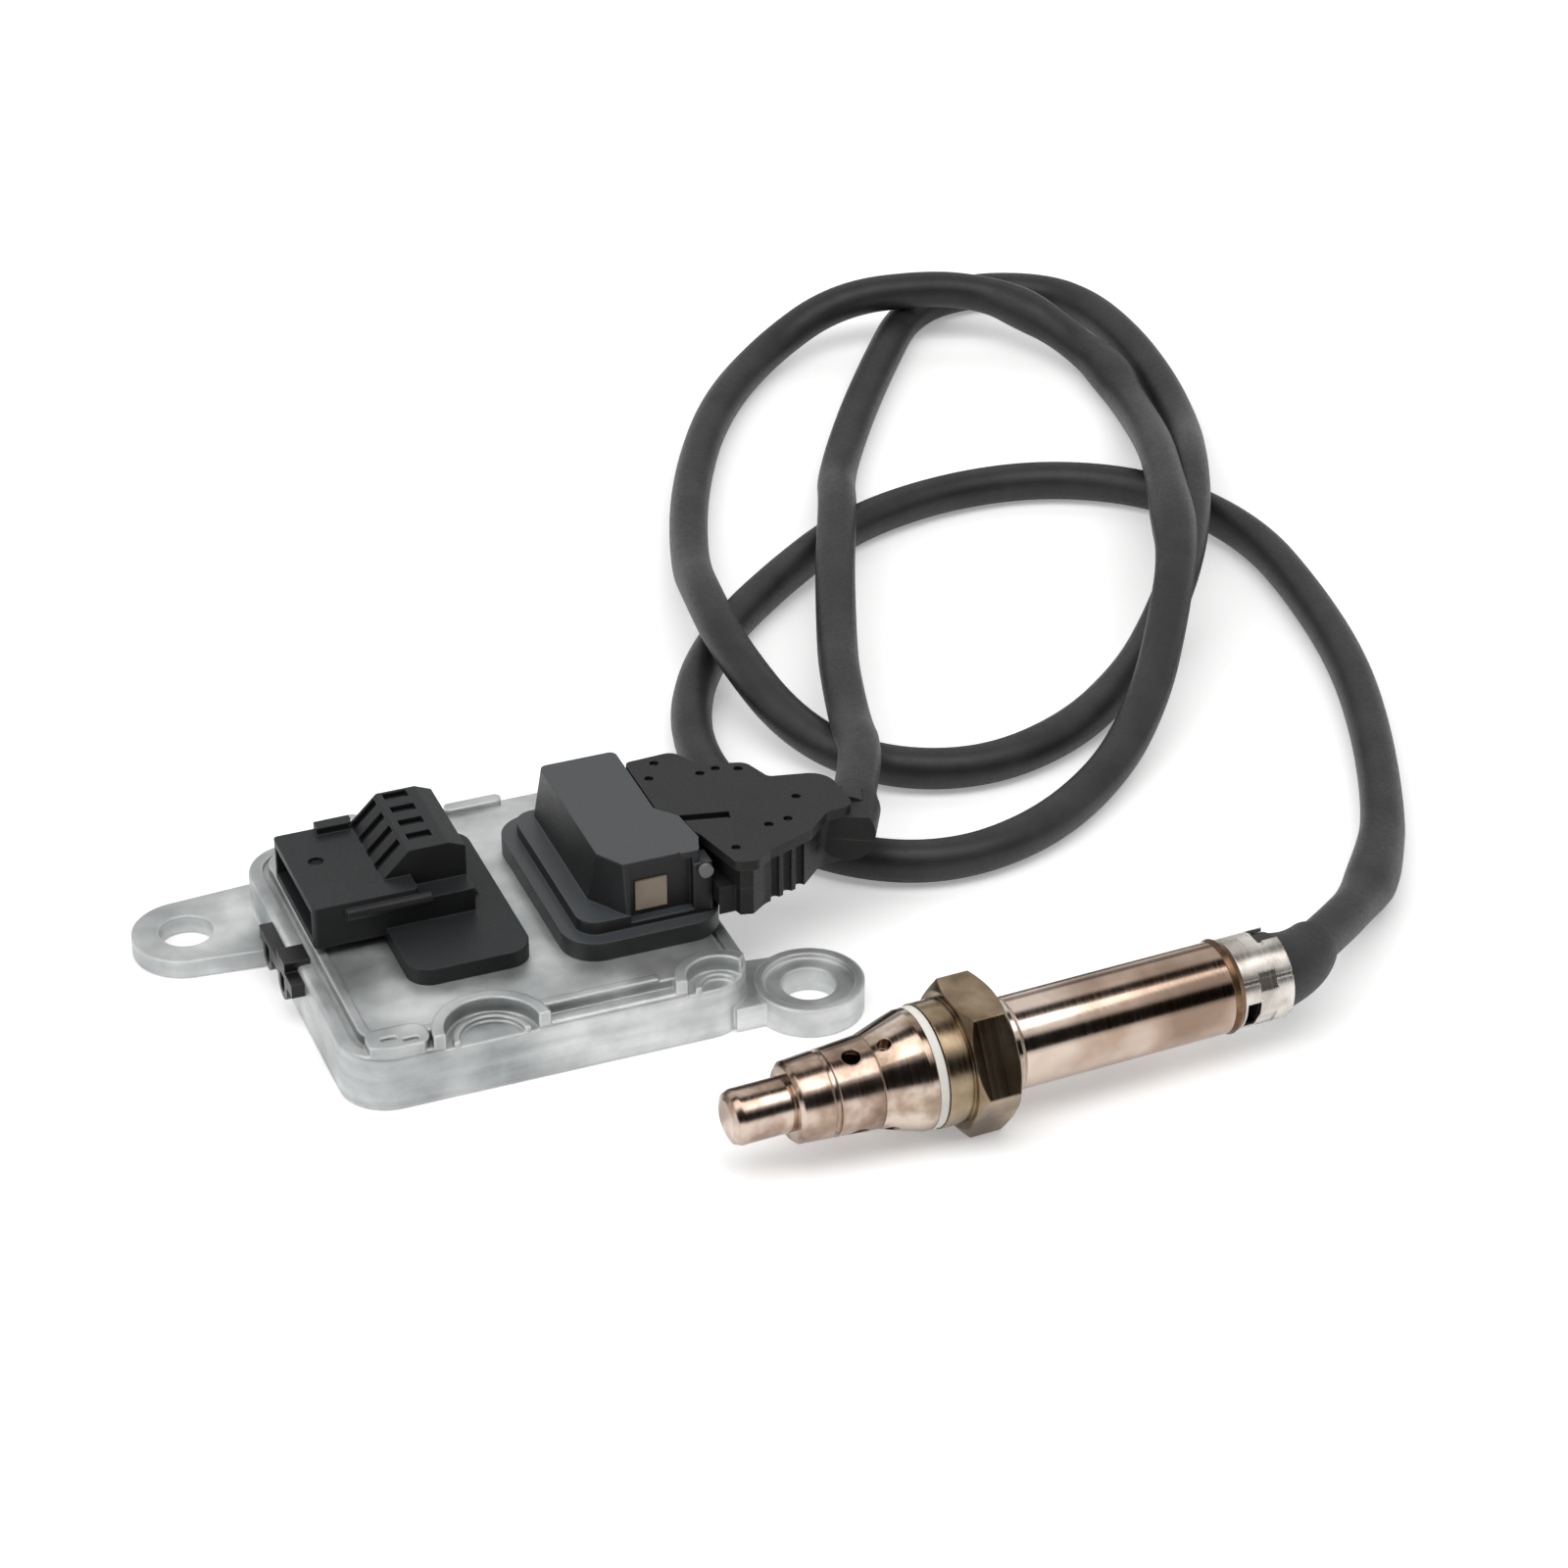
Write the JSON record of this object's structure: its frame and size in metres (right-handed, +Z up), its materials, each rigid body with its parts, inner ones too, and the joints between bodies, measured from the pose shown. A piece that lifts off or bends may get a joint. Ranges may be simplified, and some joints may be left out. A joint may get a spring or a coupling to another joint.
{
  "type": "nitrogen oxide sensor",
  "caption": "Exhaust gas sensor: a cast control module with two black connectors, a sleeved cable in loose loops and a metal probe with a swivelling gland nut.",
  "frame": {"origin": "centre of the control module's underside, on the surface it rests on", "axes": "+X along the module's front edge towards the sensor cable's plug, +Y towards its rear, +Z up out of its lid; the probe's axis lies at 3 degrees to X"},
  "size_m": [0.2571, 0.2819, 0.026],
  "materials": {
    "cast_metal": "as cast, light grey",
    "plate_metal": "rolled, matt",
    "board_laminate": "solder mask",
    "chip_plastic": "moulded",
    "header_plastic": "moulded, fine texture",
    "contact_brass": "plated",
    "seal_rubber": "moulded",
    "socket_plastic": "moulded, fine texture",
    "pad_plastic": "moulded",
    "stud_plastic": "polished",
    "plug_plastic": "moulded",
    "hood_plastic": "moulded, fine texture",
    "boot_rubber": "moulded",
    "clip_plastic": "moulded",
    "cable_sleeve": "soft braided sleeve",
    "probe_steel": "heat tinted",
    "inner_steel": "drawn",
    "collar_steel": "turned",
    "ring_white": "matt",
    "nut_steel": "bronze passivated",
    "bead_steel": "bright",
    "rear_steel": "polished, heat tinted",
    "crimp_brown": "heat browned",
    "ferrule_steel": "satin",
    "ceramic": "stands in for fired ceramic",
    "packing": "pressed powder"
  },
  "bodies": {
    "sensor": {"module_housing": "cast_metal", "base_plate": "plate_metal", "circuit_board": "board_laminate", "board_chips": "chip_plastic", "connector_header": "header_plastic", "header_pins": "contact_brass", "header_seal": "seal_rubber", "sensor_socket": "socket_plastic", "socket_pins": "contact_brass", "socket_seal": "seal_rubber", "window_pad": "pad_plastic", "latch_stud": "stud_plastic", "plug_insert": "plug_plastic", "hood_cover": "hood_plastic", "hood_base": "hood_plastic", "cable_grommet": "boot_rubber", "side_clip": "clip_plastic", "sensor_cable": "cable_sleeve", "cable_boot": "boot_rubber", "nose_cap": "probe_steel", "protection_tube": "probe_steel", "inner_tube": "inner_steel", "probe_collar": "collar_steel", "seal_ring": "ring_white", "retaining_bead": "bead_steel", "rear_tube": "rear_steel", "crimp_ring": "crimp_brown", "cable_ferrule": "ferrule_steel", "front_bush": "ceramic", "talc_packing": "packing", "rear_bush": "ceramic", "sensing_element": "ceramic", "contact_holder": "ceramic"},
    "nut": {"gland_nut": "nut_steel"}
  },
  "joints": [
    {"name": "gland_nut_turn", "type": "hinge", "parent": "sensor", "child": "nut", "pos_m": [0.05574, -0.06615, 0.011], "axis": [0.9986, 0.0523, 0], "continuous": true}
  ]
}
